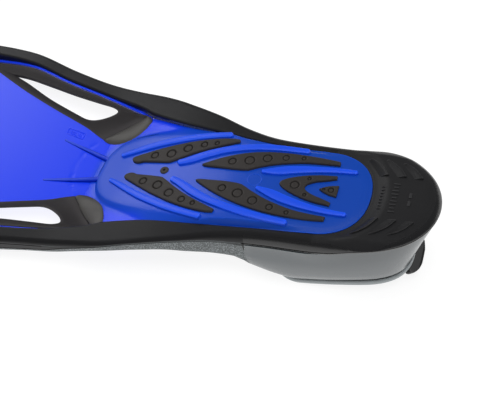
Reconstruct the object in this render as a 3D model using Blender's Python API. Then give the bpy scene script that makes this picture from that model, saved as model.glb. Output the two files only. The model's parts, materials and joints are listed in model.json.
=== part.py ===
"""A full-foot swim fin, lying sole up as it is put down to dry. Run with blender --background --python part.py.

The fin is drawn in millimetres in its own sole frame: x runs from the blade's tip to the heel, y to the wearer's
side, z out of the sole, with z = 0 on the sole plate and x = 0 near the ball of the foot. An empty then tips it
by REST_PITCH, as it lies on the floor on its instep and its blade tip, and stands it on z = 0.
"""

import math

import bmesh
import bpy
from mathutils import Vector

MM = 0.001

# Driving dimensions, in mm and degrees, in the sole frame.
REST_PITCH = 10.0       # how far the heel end of the sole is tipped up at rest
HEEL_X = 240.5          # the rearmost point of the sole
TIP_X = -350.0          # the blade's trailing edge at its middle
FLEX_X = -74.0          # the line across the blade root where the fin bends
FLEX_Z = -10.0          # height of that line
KNUCKLE_R = 14.0        # round ends of the rails and webs at the flex line
FIT_GAP = 0.35          # clearance between touching mouldings
FLEX_GAP = 0.7          # clearance between the two sides of the flex line
BLADE_T = 3.0           # thickness of the blue blade
BLADE_RISE = 0.15       # how much the blade climbs for each mm from the foot
BLADE_ROOT_Z = -10.5    # the blade's lower level at its root
SOLE_T = 5.0            # thickness of the sole plate
STRIP_W = 3.0           # the blue strip beside each rail
WEB_T = 2.4             # thickness of the rubber webs
WEB_RISE = 7.0          # how far a web climbs from the blade panel to the rail
PAD_H = 4.2             # height of the grip pads
RIB_H = 2.4             # height of the moulded ribs
HEEL_PAD_H = 4.0        # height of the raised middle of the heel tread
WALL_T = 3.4            # wall of the foot pocket
FOOTBED_T = 4.0         # thickness of the insole
OPENING_FRONT_X = 103.0 # where the foot opening starts, on the instep

# Half widths along the fin: (x, half width) of the outline of the rails and the sole.
OUTER = [(-350, 101), (-335, 106), (-310, 111), (-270, 115.5), (-235, 117.5), (-205, 117.5), (-178, 115),
         (-136, 104.5), (-99, 97), (-64, 92), (-30, 87), (5, 78), (33, 70), (60, 61.5), (86, 56.5), (110, 54.5),
         (150, 53.5), (175, 52.4), (198, 49.8)]
RAIL_INNER = [(-350, 91), (-320, 97), (-280, 101), (-240, 103), (-205, 103), (-178, 100.5), (-163, 97),
              (-136, 89.5), (-102, 82.5), (-84, 78.5), (-52, 70), (-42, 66), (-35, 63), (-5, 56), (15, 53),
              (40, 50.5), (65, 47.5), (90, 45), (115, 43.3), (140, 42)]
PANEL_EDGE = [(-240, 100), (-222, 91), (-205, 83), (-180, 72), (-146, 59), (-111, 47), (-99, 42.5), (-82, 34),
              (-66, 26)]
# Heights along the fin of the rails and of the band round the sole.
RAIL_TOP = [(-350, 34.5), (-300, 31), (-235, 24.5), (-178, 17.5), (-136, 10), (-84, 3.2), (-42, 2.8), (5, 3.4),
            (33, 2.6), (60, 1), (86, 0), (242, -0.2)]
RAIL_BOTTOM = [(-350, 17), (-335, 13.3), (-300, 8), (-235, 0), (-178, -7.5), (-136, -12), (-84, -19.5), (-64, -20),
               (-30, -16), (5, -13.5), (33, -13.8), (60, -15), (86, -16.2), (150, -16.3), (242, -16.3)]
BAND_X = [-96, -88, -80, -72, -64, -55, -48, -42, -35, -20, -5, 15, 40, 65, 90, 115, 140, 165, 184]
VALLEY = [(-80, -10.5), (-60, -10.4), (-42, -8), (-20, -4.2), (0, -1.2), (12, -0.6), (242, -0.6)]


def along(table, x):
    """The value at x of a smooth curve through the (x, value) points of a table."""
    if x <= table[0][0]:
        return table[0][1]
    if x >= table[-1][0]:
        return table[-1][1]
    i = next(k for k in range(len(table) - 1) if x <= table[k + 1][0])
    (x0, v0), (x1, v1) = table[i], table[i + 1]
    before, after = table[max(i - 1, 0)], table[min(i + 2, len(table) - 1)]
    slope0 = (v1 - before[1]) / (x1 - before[0])
    slope1 = (after[1] - v0) / (after[0] - x0)
    t, h = (x - x0) / (x1 - x0), x1 - x0
    return ((2 * t**3 - 3 * t**2 + 1) * v0 + (t**3 - 2 * t**2 + t) * h * slope0
            + (3 * t**2 - 2 * t**3) * v1 + (t**3 - t**2) * h * slope1)


def steps(start, end, count):
    """count + 1 evenly spaced numbers from start to end."""
    return [start + (end - start) * i / count for i in range(count + 1)]


def blade_z(x):
    """Height of the blade's sole-side surface."""
    return BLADE_ROOT_Z + BLADE_RISE * (FLEX_X - x)


def heel_arc(x_centre, half_width, reach, count, power=2.3):
    """Points of a blunt round heel from +half_width to -half_width, bulging towards +x by reach."""
    points = []
    for angle in steps(math.pi / 2, -math.pi / 2, count):
        cos, sin = math.cos(angle), math.sin(angle)
        x = x_centre + reach * abs(cos) ** (2 / power)
        points.append((x, math.copysign(half_width * abs(sin) ** (2 / power), sin)))
    return points


def through(points, count):
    """A smooth open line through hand-set points, with count spans between each two."""
    line = []
    for i in range(len(points) - 1):
        p0, p1, p2, p3 = (Vector(points[min(max(k, 0), len(points) - 1)]) for k in (i - 1, i, i + 1, i + 2))
        for t in steps(0, 1, count)[:-1]:
            line.append(0.5 * (2 * p1 + (p2 - p0) * t + (2 * p0 - 5 * p1 + 4 * p2 - p3) * t**2
                               + (3 * p1 - p0 - 3 * p2 + p3) * t**3))
    return [tuple(p) for p in line] + [tuple(points[-1])]


def mirrored(points, side):
    """The points as they are for the left side, and mirrored across the fin's middle plane for the right."""
    return [(x, side * y) for x, y in points]


# Making objects.

def material(name, colour, roughness):
    """A plain finish."""
    made = bpy.data.materials.get(name) or bpy.data.materials.new(name)
    made.use_nodes = True
    shader = made.node_tree.nodes["Principled BSDF"]
    shader.inputs["Base Color"].default_value = (*colour, 1)
    shader.inputs["Roughness"].default_value = roughness
    shader.inputs["Metallic"].default_value = 0.0
    return made


def new_object(name, bm, finish, parent):
    """Closes the mesh off as an object in metres, under its parent."""
    bmesh.ops.recalc_face_normals(bm, faces=bm.faces)
    bmesh.ops.scale(bm, vec=(MM, MM, MM), verts=bm.verts)
    mesh = bpy.data.meshes.new(name)
    bm.to_mesh(mesh)
    bm.free()
    mesh.materials.append(finish)
    made = bpy.data.objects.new(name, mesh)
    bpy.context.scene.collection.objects.link(made)
    made.parent = parent
    return made


def outlined_face(bm, loops):
    """Fills one or more closed loops of (x, y) points with triangles; inner loops are holes."""
    edges = []
    for loop in loops:
        verts = [bm.verts.new((x, y, 0)) for x, y in loop]
        edges += [bm.edges.new((verts[i], verts[i - 1])) for i in range(len(verts))]
    return bmesh.ops.triangle_fill(bm, edges=edges, use_beauty=True, normal=(0, 0, 1))


def slab(name, loops, top, thickness, finish, parent):
    """A plate with the outline of loops, its upper face at height top(x, y)."""
    bm = bmesh.new()
    outlined_face(bm, loops)
    grown = bmesh.ops.extrude_face_region(bm, geom=bm.faces[:])
    lower = {v for v in grown["geom"] if isinstance(v, bmesh.types.BMVert)}
    for v in bm.verts:
        z = top(v.co.x, v.co.y)
        v.co.z = z - (thickness(v.co.x, v.co.y) if callable(thickness) else thickness) if v in lower else z
    return new_object(name, bm, finish, parent)


def ring_verts(bm, ring):
    verts = [bm.verts.new(p) for p in ring]
    return verts, [bm.edges.new((verts[i], verts[(i + 1) % len(verts)])) for i in range(len(verts))]


def loft(rings):
    """A closed skin through rings of points, with flat ends."""
    bm = bmesh.new()
    made = [ring_verts(bm, ring)[0] for ring in rings]
    for lower, upper in zip(made, made[1:]):
        for i in range(len(lower)):
            j = (i + 1) % len(lower)
            bm.faces.new((lower[i], lower[j], upper[j], upper[i]))
    bm.faces.new(made[0])
    bm.faces.new(made[-1])
    return bm


def cut(target, cutter, operation="DIFFERENCE"):
    """Cuts target with a hidden helper, or joins the helper to it."""
    cutter.hide_render = True
    cutter.display_type = "WIRE"
    boolean = target.modifiers.new(cutter.name, "BOOLEAN")
    boolean.operation = operation
    boolean.solver = "EXACT"
    boolean.object = cutter


def rail_section(inner, outer, low, high, count=16):
    """A rounded bar's section: (y, z) points round a rounded rectangle."""
    middle_y, middle_z = (inner + outer) / 2, (low + high) / 2
    half_y, half_z = (outer - inner) / 2, (high - low) / 2
    points = []
    for angle in steps(0, 2 * math.pi, count)[:-1]:
        cos, sin = math.cos(angle), math.sin(angle)
        points.append((middle_y + half_y * math.copysign(abs(cos) ** 0.6, cos),
                       middle_z + half_z * math.copysign(abs(sin) ** 0.6, sin)))
    return points


def flex_cutter(name, parent, for_blade):
    """The space that the blade's rails and webs, or the pocket's, may not enter: the far side of the flex line,
    less or plus a cylinder round it, so that the two sides meet in a round knuckle."""
    reach, far = 320.0, 60.0
    radius = KNUCKLE_R if for_blade else KNUCKLE_R + FLEX_GAP
    wall_x = FLEX_X + FLEX_GAP / 2
    end_x = FLEX_X + (reach if for_blade else -reach)
    arc = [(FLEX_X + radius * math.cos(a), FLEX_Z + radius * math.sin(a)) for a in steps(math.pi / 2, -math.pi / 2, 16)]
    profile = [(end_x, FLEX_Z + far), (wall_x, FLEX_Z + far)] + arc + [(wall_x, FLEX_Z - far), (end_x, FLEX_Z - far)]
    bm = bmesh.new()
    face = bm.faces.new([bm.verts.new((x, -150, z)) for x, z in profile])
    grown = bmesh.ops.extrude_face_region(bm, geom=[face])
    bmesh.ops.translate(bm, vec=(0, 300, 0), verts=[v for v in grown["geom"] if isinstance(v, bmesh.types.BMVert)])
    return new_object(name, bm, RUBBER, parent)


# The sole plate, its ribs and its grip pads.

RIBS = {"outer": ([(-46, 14), (-33, 20), (-20, 26), (-5, 32), (11, 37.5), (32, 42.5), (51, 45)], [3, 5, 5, 5, 5, 5, 4.5]),
        "middle": ([(8, 8.5), (20, 13), (35, 21), (53, 28), (76, 33.7), (100, 36.8), (124, 38)], [4, 6, 5.5, 5, 5, 5, 4.5]),
        "inner": ([(87, 8.5), (102, 12), (114, 15.5), (131, 19), (150, 21.4), (169, 22)], [2, 7.5, 6.5, 5, 4, 3.5])}
PAD_FRONT = [(-33, 13), (-28, 17), (-15, 23.5), (0, 29), (22, 36), (44, 39), (58, 39.5), (60.5, 37.5), (58, 34.8),
             (45, 30.3), (30, 24), (15, 15.5), (4, 8.2), (-14, 7.2), (-26, 7.4), (-32, 9.5)]
PAD_MIDDLE = [(34.5, 10.5), (40, 14.5), (60, 22.5), (82, 28.3), (108, 31.6), (134, 31.8), (151, 31), (153.5, 28.5),
              (151, 25.5), (127, 23.8), (105, 19.6), (88, 12.5), (76, 6.8), (56, 7), (37, 8)]
PAD_CHEVRON_HALF = [(107, 0), (115, 6.8), (130, 12.3), (152, 16), (153.8, 13.8), (152, 11.3), (138, 7.3), (130.5, 3)]
PAD_HEEL_HALF = [(141, 0), (148, 4), (156.5, 5.6)]


def both_sides(half, end_x=None):
    """A closed outline from its left half, which starts on the middle line."""
    closing = [] if end_x is None else [(end_x, 0)]
    return half + closing + [(x, -y) for x, y in reversed(half[1:])]


def rib_outline(points, widths):
    """A tapering rib's outline, from its middle line and its width at each point."""
    middle = through(points, 3)
    left, right = [], []
    for i, (x, y) in enumerate(middle):
        ahead, behind = middle[min(i + 1, len(middle) - 1)], middle[max(i - 1, 0)]
        across = Vector((behind[1] - ahead[1], ahead[0] - behind[0])).normalized()
        share = i / (len(middle) - 1) * (len(widths) - 1)
        k = min(int(share), len(widths) - 2)
        half = (widths[k] + (widths[k + 1] - widths[k]) * (share - k)) / 2
        left.append((x + across.x * half, y + across.y * half))
        right.append((x - across.x * half, y - across.y * half))
    return left + right[::-1]


def sole_outline(gap):
    """The blue sole plate's outline: wide at the flex line, round at the heel, gap inside the band."""
    side = [(x, along(RAIL_INNER, x) - gap) for x in BAND_X if -42 <= x <= 115]
    root = [(FLEX_X + FLEX_GAP, 28), (-70, 29.5), (-59, 36), (-47, 45), (-41, 55)]
    heel = heel_arc(140, 42 - gap, 43.5 - gap, 18)
    return root + side + heel + mirrored(side, -1)[::-1] + mirrored(root, -1)[::-1]


def arch_outline():
    """The raised front of the sole, an arch that spans the foot just behind the flex line."""
    half = [(-62, 0), (-60.3, 13), (-57, 19), (-52, 24.7), (-43.6, 30.7), (-31.5, 35.8), (-14.4, 39.8), (12.8, 44.8)]
    sides = half + [(34, 47.6), (65, 46.7), (90, 44.2), (115, 42.5), (140, 41.2)]
    return sides + heel_arc(140, 41.2, 42.5, 12)[1:-1] + [(x, -y) for x, y in reversed(sides[1:])]


def sole_plate(parent):
    """The blue moulding under the foot: a valley round the raised sole, with the ribs on it."""
    plate = slab("sole_plate", [sole_outline(FIT_GAP)], lambda x, y: along(VALLEY, x), 3.0, BLUE, parent)
    raised = slab("raised_sole", [arch_outline()], lambda x, y: 0.0,
                  lambda x, y: 2.0 - along(VALLEY, x), BLUE, parent)
    cut(plate, raised, "UNION")
    for side in (1, -1):
        for name, (points, widths) in RIBS.items():
            outline = mirrored(rib_outline(points, widths), side)
            rib = slab(f"rib_{name}_{side}", [outline], lambda x, y: RIB_H, RIB_H + 1.0, BLUE, parent)
            cut(plate, rib, "UNION")
    return plate


def grip_pads(parent):
    """Rubber pads bonded on the sole plate."""
    shapes = {"grip_pad_chevron": both_sides(PAD_CHEVRON_HALF, 128.5), "grip_pad_heel": both_sides(PAD_HEEL_HALF)}
    for side, word in ((1, "left"), (-1, "right")):
        shapes[f"grip_pad_front_{word}"] = mirrored(PAD_FRONT, side)
        shapes[f"grip_pad_middle_{word}"] = mirrored(PAD_MIDDLE, side)
    for name, outline in shapes.items():
        pad = slab(name, [outline], lambda x, y: PAD_H, PAD_H - FIT_GAP, RUBBER, parent)
        bevel = pad.modifiers.new("soft_edge", "BEVEL")
        bevel.width, bevel.segments, bevel.limit_method, bevel.angle_limit = 0.8 * MM, 1, "ANGLE", math.radians(60)
    gate = [(4.2 * math.cos(a), 4.2 * math.sin(a)) for a in steps(0, 2 * math.pi, 20)[:-1]]
    slab("gate_button", [gate], lambda x, y: 1.2, 1.2 - FIT_GAP, RUBBER, parent)


# The black band round the sole, with the roots of the rails and the heel tread.

def band_rings():
    """Sections of the band on the left side, from the flex line to where the heel starts to round."""
    rings = []
    for x in BAND_X:
        inner = along(RAIL_INNER, min(x, 140))
        rings.append([(x, y, z) for y, z in
                      rail_section(inner, along(OUTER, x), along(RAIL_BOTTOM, x), along(RAIL_TOP, x))])
    return rings


def outsole_band(parent, blade_space):
    """One rubber moulding: a rail root on each side, the band round the sole and the heel tread that joins them."""
    left = new_object("outsole_band", loft(band_rings()), RUBBER, parent)
    right = new_object("band_right", loft([[(x, -y, z) for x, y, z in ring] for ring in band_rings()]), RUBBER, parent)
    heel_outer = [(150, 53)] + heel_arc(178, 52.2, HEEL_X - 178, 26, power=2.0) + [(150, -53)]
    hollow = heel_arc(140, 42, 43.5, 18)
    heel_outline = heel_outer + [(140, -53.6), (140, -42.0)] + hollow[::-1][1:-1] + [(140, 42.0), (140, 53.6)]
    heel = slab("heel_tread", [heel_outline], lambda x, y: -0.2, 16.1, RUBBER, parent)
    bevel = heel.modifiers.new("round_edge", "BEVEL")
    bevel.width, bevel.segments, bevel.limit_method, bevel.angle_limit = 4 * MM, 2, "ANGLE", math.radians(60)
    cut(left, right, "UNION")
    raised = both_sides([(158, 0), (158, 44), (178, 44)] + [(x, y) for x, y in
                        heel_arc(180, 43.5, 48, 20, power=2.1)[1:10]], 228)
    pad = slab("heel_pad", [raised], lambda x, y: HEEL_PAD_H, HEEL_PAD_H + 3.0, RUBBER, parent)
    hollow_x = slab("heel_pad_hollow", [heel_arc(140, 50, 51, 18) + [(120, -50), (120, 50)]], lambda x, y: 20.0, 40.0,
                    RUBBER, parent)
    cut(pad, hollow_x)
    cut(left, heel, "UNION")
    cut(left, pad, "UNION")
    cut(left, blade_space)
    return left


# The foot pocket: a soft shell whose level outlines shrink from the toes to the foot opening.

POCKET_WIDTH = [(-70, 48), (-30, 52), (0, 54), (30, 55.5), (60, 57), (90, 58), (115, 57.5), (135, 54.5), (156, 51.5),
                (177, 49.5), (200, 49)]
POCKET_FRONT = [(-62, 92), (-60, 87), (-55, 62), (-48, 30), (-40, -3), (-32, -31), (-24, -49), (-17, -57), (-6, -58)]
POCKET_REAR = [(-62, 208), (-50, 215), (-35, 225), (-20, 234), (-6, 237)]
POCKET_LEAN = [(-62, 0.93), (-50, 1.0), (-35, 1.02), (-20, 0.98), (-6, 0.96)]
POCKET_MIDDLE_X = 130.0
POCKET_LEVELS = [-17.0, -24, -30, -36, -42, -48, -53, -57, -60, -62]


def pocket_outline(z, inset, count=40):
    """The pocket's level outline at height z, inset by its wall."""
    front, rear = along(POCKET_FRONT, z) + inset, along(POCKET_REAR, z) - inset
    lean = along(POCKET_LEAN, z)
    points = []
    for angle in steps(0, 2 * math.pi, count)[:-1]:
        cos, sin = math.cos(angle), math.sin(angle)
        length = rear - POCKET_MIDDLE_X if cos > 0 else POCKET_MIDDLE_X - front
        power = 2.5 + 0.4 * (z + 60) / 43 if cos > 0 else 2.1
        x = POCKET_MIDDLE_X + length * math.copysign(abs(cos) ** (2 / power), cos)
        half = along(POCKET_WIDTH, x) * lean - inset
        points.append((x, half * math.copysign(abs(sin) ** (2 / power), sin), z))
    return points


def foot_pocket(parent):
    """The rubber upper: side walls, toe box, instep and heel cup in one soft shell, open for the foot."""
    shell = new_object("foot_pocket", loft([pocket_outline(z, 0) for z in POCKET_LEVELS]), SOFT_RUBBER, parent)
    inner_levels = [POCKET_LEVELS[0] - WALL_T] + [z + WALL_T for z in POCKET_LEVELS[2:]] + [POCKET_LEVELS[-1] - 4]
    rings = []
    for z in inner_levels:
        level = max(z - WALL_T, POCKET_LEVELS[-1])
        rings.append([(x, y, z) for x, y, _ in pocket_outline(level, WALL_T)])
    cut(shell, new_object("foot_space", loft(rings), RUBBER, parent))
    toe_hole = [[(x, 17 * math.cos(a), -21 + 6.5 * math.sin(a)) for a in steps(0, 2 * math.pi, 16)[:-1]]
                for x in (-75, -30)]
    cut(shell, new_object("toe_drain", loft(toe_hole), RUBBER, parent))
    return shell


def footbed(parent):
    """The insole, a flat rubber sheet inside the pocket that the foot stands on."""
    outline = [(x, y) for x, y, _ in pocket_outline(-29.0, WALL_T + 1.5)]
    top = POCKET_LEVELS[0] - WALL_T - FIT_GAP
    return slab("footbed", [outline], lambda x, y: top, FOOTBED_T, SOFT_RUBBER, parent)


def pocket_core(parent):
    """The rubber that fills the sole between the footbed and the blue plate, and bonds the pocket to the band."""
    half = [(-42, 0), (-41, 20), (-36, 30), (-26, 38), (-10, 42), (30, 42), (90, 40), (140, 37)]
    outline = half + heel_arc(140, 37, 38, 12)[1:-1] + [(x, -y) for x, y in reversed(half[1:])]
    floor_z = POCKET_LEVELS[0] + FIT_GAP

    def top(x, y):
        return along(VALLEY, x) - 3.0 - FIT_GAP

    return slab("sole_core", [outline], top, lambda x, y: top(x, y) - floor_z, RUBBER, parent)


# The blade.

VENT_OUTER = [(-79, 66), (-85, 70.5), (-100, 72), (-127, 76), (-155, 80.5), (-180, 85.5), (-196, 89.5)]
VENT_INNER = [(-200, 90), (-180, 80), (-149, 66.5), (-115, 55.5), (-104, 52.5), (-94, 54), (-83, 60)]


def web_z(x, y):
    """Height of a web, which climbs from the blade panel to the rail."""
    low, high = along(PANEL_EDGE, x), along(RAIL_INNER, x) - STRIP_W
    share = min(max((abs(y) - low) / max(high - low, 1.0), 0), 1)
    fade = min(max((x + 235) / 60, 0), 1)
    return blade_z(min(x, -60)) + WEB_RISE * fade * share


def strip_z(x, y):
    """Height of the blue strip beside a rail, level with the web's outer edge."""
    return blade_z(x) + WEB_RISE * min(max((x + 235) / 60, 0), 1) * min(max((abs(y) - along(PANEL_EDGE, x)) / 8, 0), 1)


def blade_panel(parent):
    """The blue blade: a middle panel that widens to the tip, and a strip down each side, round the two webs."""
    root_x = FLEX_X - FLEX_GAP
    side = [(x, along(RAIL_INNER, x) - FIT_GAP) for x in steps(root_x, -335, 20)]
    tip = [(-341, 78), (-346, 52), (-345, 26), (-340, 0)]
    outer = [(root_x, along(RAIL_INNER, root_x) - STRIP_W)] + side + tip
    strip_in = [(x, along(RAIL_INNER, x) - STRIP_W) for x in steps(-236, root_x, 16)]
    panel = [(x, along(PANEL_EDGE, x)) for x in steps(-238, root_x, 16)]
    half = panel[::-1] + strip_in[:-1] + outer
    outline = half + [(x, -y) for x, y in reversed(half[:-1])]
    return slab("blade_panel", [outline], lambda x, y: blade_z(x), BLADE_T, BLUE, parent)


def web_outline(side):
    """A web's outline, from the blade panel's edge to the strip, and round its root."""
    inner = [(x, along(PANEL_EDGE, x) + FIT_GAP) for x in steps(-228, -78, 14)]
    outer = [(x, along(RAIL_INNER, x) - STRIP_W - FIT_GAP) for x in steps(-78, -226, 14)]
    root = [(-72, 30.5), (-60, 37), (-48, 46), (-42.5, 55.5), (-44, 62), (-60, 68)]
    return mirrored(inner + root + outer, side)


def flex_webs(parent_blade, parent_pocket, blade_space, pocket_space):
    """Black rubber between the blade panel and each rail, with the water vent in it, split at the flex line."""
    for side, word in ((1, "left"), (-1, "right")):
        vent = mirrored(through(VENT_OUTER, 2) + through(VENT_INNER, 2), side)
        web = slab(f"flex_web_{word}", [web_outline(side), vent], web_z, WEB_T, RUBBER, parent_blade)
        cut(web, pocket_space)
        root = slab(f"web_root_{word}", [web_outline(side)], web_z, WEB_T, RUBBER, parent_pocket)
        cut(root, blade_space)


def rails(parent, pocket_space):
    """The rubber rail down each side of the blade."""
    for side, word in ((1, "left"), (-1, "right")):
        rings = []
        for x in [-350, -347, -340, -325] + steps(-305, -105, 12) + [-92, -80, -68, -56]:
            inner, outer = along(RAIL_INNER, x), along(OUTER, x)
            low, high = along(RAIL_BOTTOM, x), along(RAIL_TOP, x)
            pinch = {-350: 0.45, -347: 0.75}.get(x, 1.0)
            rings.append([(x, side * ((inner + outer) / 2 + (y - (inner + outer) / 2) * pinch),
                           (low + high) / 2 + (z - (low + high) / 2) * pinch)
                          for y, z in rail_section(inner, outer, low, high)])
        cut(new_object(f"rail_{word}", loft(rings), RUBBER, parent), pocket_space)


# The pull tab on the heel.

def pull_tab(parent):
    """A rounded rubber tab on the heel cup's rim, which bends when it is pulled."""
    half = [(0, 13), (6, 13), (13, 11.5), (18, 7), (20, 0)]
    outline = half + [(x, -y) for x, y in reversed(half[:-1])]
    tab = slab("pull_tab", [outline], lambda x, y: 1.9, 3.8, RUBBER, parent)
    bevel = tab.modifiers.new("soft_edge", "BEVEL")
    bevel.width, bevel.segments, bevel.limit_method, bevel.angle_limit = 1.0 * MM, 2, "ANGLE", math.radians(60)
    return tab


def empty(name, place=(0, 0, 0), turn=(0, 0, 0), parent=None):
    made = bpy.data.objects.new(name, None)
    bpy.context.scene.collection.objects.link(made)
    made.location = Vector(place) * MM
    made.rotation_euler = [math.radians(a) for a in turn]
    made.parent = parent
    return made


def stand_on_floor(frame):
    """Moves the whole fin so that its box stands centred on z = 0."""
    bpy.context.view_layer.update()
    graph = bpy.context.evaluated_depsgraph_get()
    corners = []
    for obj in bpy.data.objects:
        if obj.type == "MESH" and not obj.hide_render:
            made = obj.evaluated_get(graph)
            corners += [made.matrix_world @ v.co for v in made.data.vertices]
    low = Vector(min(c[i] for c in corners) for i in range(3))
    high = Vector(max(c[i] for c in corners) for i in range(3))
    frame.location = -Vector(((low.x + high.x) / 2, (low.y + high.y) / 2, low.z))


def smooth_round_pieces():
    for obj in bpy.data.objects:
        if obj.type == "MESH":
            obj.data.shade_smooth()
            obj.data.set_sharp_from_angle(angle=math.radians(35))


for old in list(bpy.data.objects):
    bpy.data.objects.remove(old)

BLUE = material("blue_plastic", (0.01, 0.09, 0.65), 0.3)
RUBBER = material("black_rubber", (0.02, 0.02, 0.022), 0.5)
SOFT_RUBBER = material("soft_rubber", (0.045, 0.05, 0.052), 0.4)

sole_frame = empty("sole_frame", turn=(0, -REST_PITCH, 0))
blade_frame = empty("blade_flex_axis", parent=sole_frame)
tab_axis = empty("pull_tab_axis", place=(212.5, 0, -62), turn=(0, 50, 0), parent=sole_frame)
blade_space = flex_cutter("blade_space", sole_frame, for_blade=False)
pocket_space = flex_cutter("pocket_space", sole_frame, for_blade=True)
sole_plate(sole_frame)
grip_pads(sole_frame)
outsole_band(sole_frame, blade_space)
foot_pocket(sole_frame)
footbed(sole_frame)
pocket_core(sole_frame)
blade_panel(blade_frame)
flex_webs(blade_frame, sole_frame, blade_space, pocket_space)
rails(blade_frame, pocket_space)
pull_tab(tab_axis)
smooth_round_pieces()
stand_on_floor(sole_frame)
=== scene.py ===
import functools
import json
import math

import bmesh
import bpy
from mathutils import Matrix, Vector
from mathutils.kdtree import KDTree


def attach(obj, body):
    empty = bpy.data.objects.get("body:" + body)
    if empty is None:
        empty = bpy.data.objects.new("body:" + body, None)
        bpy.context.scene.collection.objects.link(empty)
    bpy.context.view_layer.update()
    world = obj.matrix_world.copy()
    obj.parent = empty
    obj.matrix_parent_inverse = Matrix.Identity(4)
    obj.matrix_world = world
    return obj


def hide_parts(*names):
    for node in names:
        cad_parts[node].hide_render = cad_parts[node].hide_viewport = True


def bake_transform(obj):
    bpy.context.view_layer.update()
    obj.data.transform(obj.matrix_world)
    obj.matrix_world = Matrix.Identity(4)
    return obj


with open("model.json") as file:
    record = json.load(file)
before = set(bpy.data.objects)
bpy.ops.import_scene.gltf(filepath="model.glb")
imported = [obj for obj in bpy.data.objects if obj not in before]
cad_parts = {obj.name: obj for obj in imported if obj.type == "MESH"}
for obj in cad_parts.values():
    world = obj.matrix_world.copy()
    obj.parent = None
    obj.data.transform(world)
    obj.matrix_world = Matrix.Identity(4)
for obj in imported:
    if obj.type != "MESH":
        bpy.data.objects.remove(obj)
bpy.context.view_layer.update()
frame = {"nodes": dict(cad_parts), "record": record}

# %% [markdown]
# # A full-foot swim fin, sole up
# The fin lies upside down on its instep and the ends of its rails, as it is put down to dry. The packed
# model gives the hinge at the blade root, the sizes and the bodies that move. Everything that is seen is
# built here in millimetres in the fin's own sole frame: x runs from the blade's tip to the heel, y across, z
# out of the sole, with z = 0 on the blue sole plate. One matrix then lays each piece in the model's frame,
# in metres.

record = frame["record"]
tread_axis = next(m for m in record["mounts"] if m["name"] == "heel_face")["axis"]
flex_hinge = Vector(next(j for j in record["behaviour"]["joints"] if j["name"] == "blade_flex")["pos_m"])
FLEX_X, FLEX_Z = -74.0, -10.0
pitch = math.atan2(-tread_axis[0], tread_axis[2])
tilt = Matrix.Rotation(-pitch, 4, "Y") @ Matrix.Scale(0.001, 4)
SOLE = Matrix.Translation(flex_hinge - tilt @ Vector((FLEX_X, 0, FLEX_Z))) @ tilt
print("the sole is tipped", round(math.degrees(pitch), 2), "degrees, its origin is at", SOLE.translation)

# %% [markdown]
# ## Curves through listed points
# A moulding like this is drawn as smooth curves: half widths, heights and centre lines. Each is kept as a
# short table of points, and one function reads a smooth value between them. A step that eases in and out is
# used for every soft edge.

# %% Reading a smooth curve
@functools.lru_cache(maxsize=None)
def along(table, x):
    """The value at x of a smooth curve through the (x, value) points of a table."""
    if x <= table[0][0]:
        return table[0][1]
    if x >= table[-1][0]:
        return table[-1][1]
    i = next(k for k in range(len(table) - 1) if x <= table[k + 1][0])
    (x0, v0), (x1, v1) = table[i], table[i + 1]
    before, after = table[max(i - 1, 0)], table[min(i + 2, len(table) - 1)]
    slope0, slope1 = (v1 - before[1]) / (x1 - before[0]), (after[1] - v0) / (after[0] - x0)
    t, h = (x - x0) / (x1 - x0), x1 - x0
    return ((2 * t**3 - 3 * t**2 + 1) * v0 + (t**3 - 2 * t**2 + t) * h * slope0
            + (3 * t**2 - 2 * t**3) * v1 + (t**3 - t**2) * h * slope1)


def ease(low, high, x):
    """0 below low, 1 above high, and a soft step between them."""
    t = min(max((x - low) / (high - low), 0.0), 1.0)
    return t * t * (3 - 2 * t)


def mix(a, b, t):
    return a + (b - a) * t


def arc_point(centre_x, half_width, reach, t, power):
    """A point of a blunt round end, from its side at t = 0 to its middle at t = 1."""
    angle = t * math.pi / 2
    ahead, aside = math.sin(angle), max(math.cos(angle), 0.0)
    return centre_x + reach * ahead ** (2 / power), half_width * aside ** (2 / power)


# %% The outlines and heights of the fin
OUTER = ((-350, 101), (-335, 106), (-310, 111), (-270, 115.5), (-235, 117.5), (-205, 117.5), (-178, 115),
         (-136, 104.5), (-99, 97), (-64, 92), (-30, 87), (5, 78), (33, 70), (60, 61.5), (86, 56.5),
         (110, 54.5), (150, 53.5), (175, 52.4), (198, 49.8))
RAIL_INNER = ((-350, 91), (-320, 97), (-280, 101), (-240, 103), (-205, 103), (-178, 100.5), (-163, 97),
              (-136, 89.5), (-102, 82.5), (-84, 78.5), (-52, 70), (-42, 66), (-35, 63), (-5, 56), (15, 53),
              (40, 50.5), (65, 47.5), (90, 45), (115, 43.3), (140, 42))
PANEL_EDGE = ((-240, 100), (-222, 91), (-205, 83), (-180, 72), (-146, 59), (-111, 47), (-99, 42.5), (-82, 34),
              (-79, 34), (-65, 50), (-52, 61), (-48, 64), (-42, 66))
RAIL_TOP = ((-350, 34.5), (-300, 31), (-235, 24.5), (-178, 17.5), (-136, 10), (-84, 3.2), (-42, 2.8),
            (5, 3.4), (33, 2.6), (60, 1), (86, 0), (242, 0))
RAIL_BOTTOM = ((-350, 17), (-335, 13.3), (-300, 8), (-235, 0), (-178, -7), (-136, -10), (-105, -12.5),
               (-78, -13.8), (-40, -10.2), (-15, -10.2), (3, -11.7), (23, -14.5), (42, -20.6), (53, -24),
               (64, -27.5), (76, -31.5), (85, -35), (92, -37))
PARTING = ((-350, 24), (-235, 9), (-178, 1.5), (-136, -3.5), (-84, -7.5), (-62, -4.5), (-40, -2), (-13, 0.4),
           (3, 0.2), (17, -0.2), (30, -1), (47, -3.6), (69, -7.6), (88.6, -12), (116, -13.4), (140, -13.8),
           (159, -12.3), (175, -8), (189, -4.8), (208, -4), (221, -4.8), (242, -5))
HEEL_START, HEEL_REACH = 178.0, 62.5
BLUE_END, BLUE_REACH, BLUE_BLUNT = 140.0, 43.5, 2.3
BLUE_END_HALF = 42.4


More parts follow.
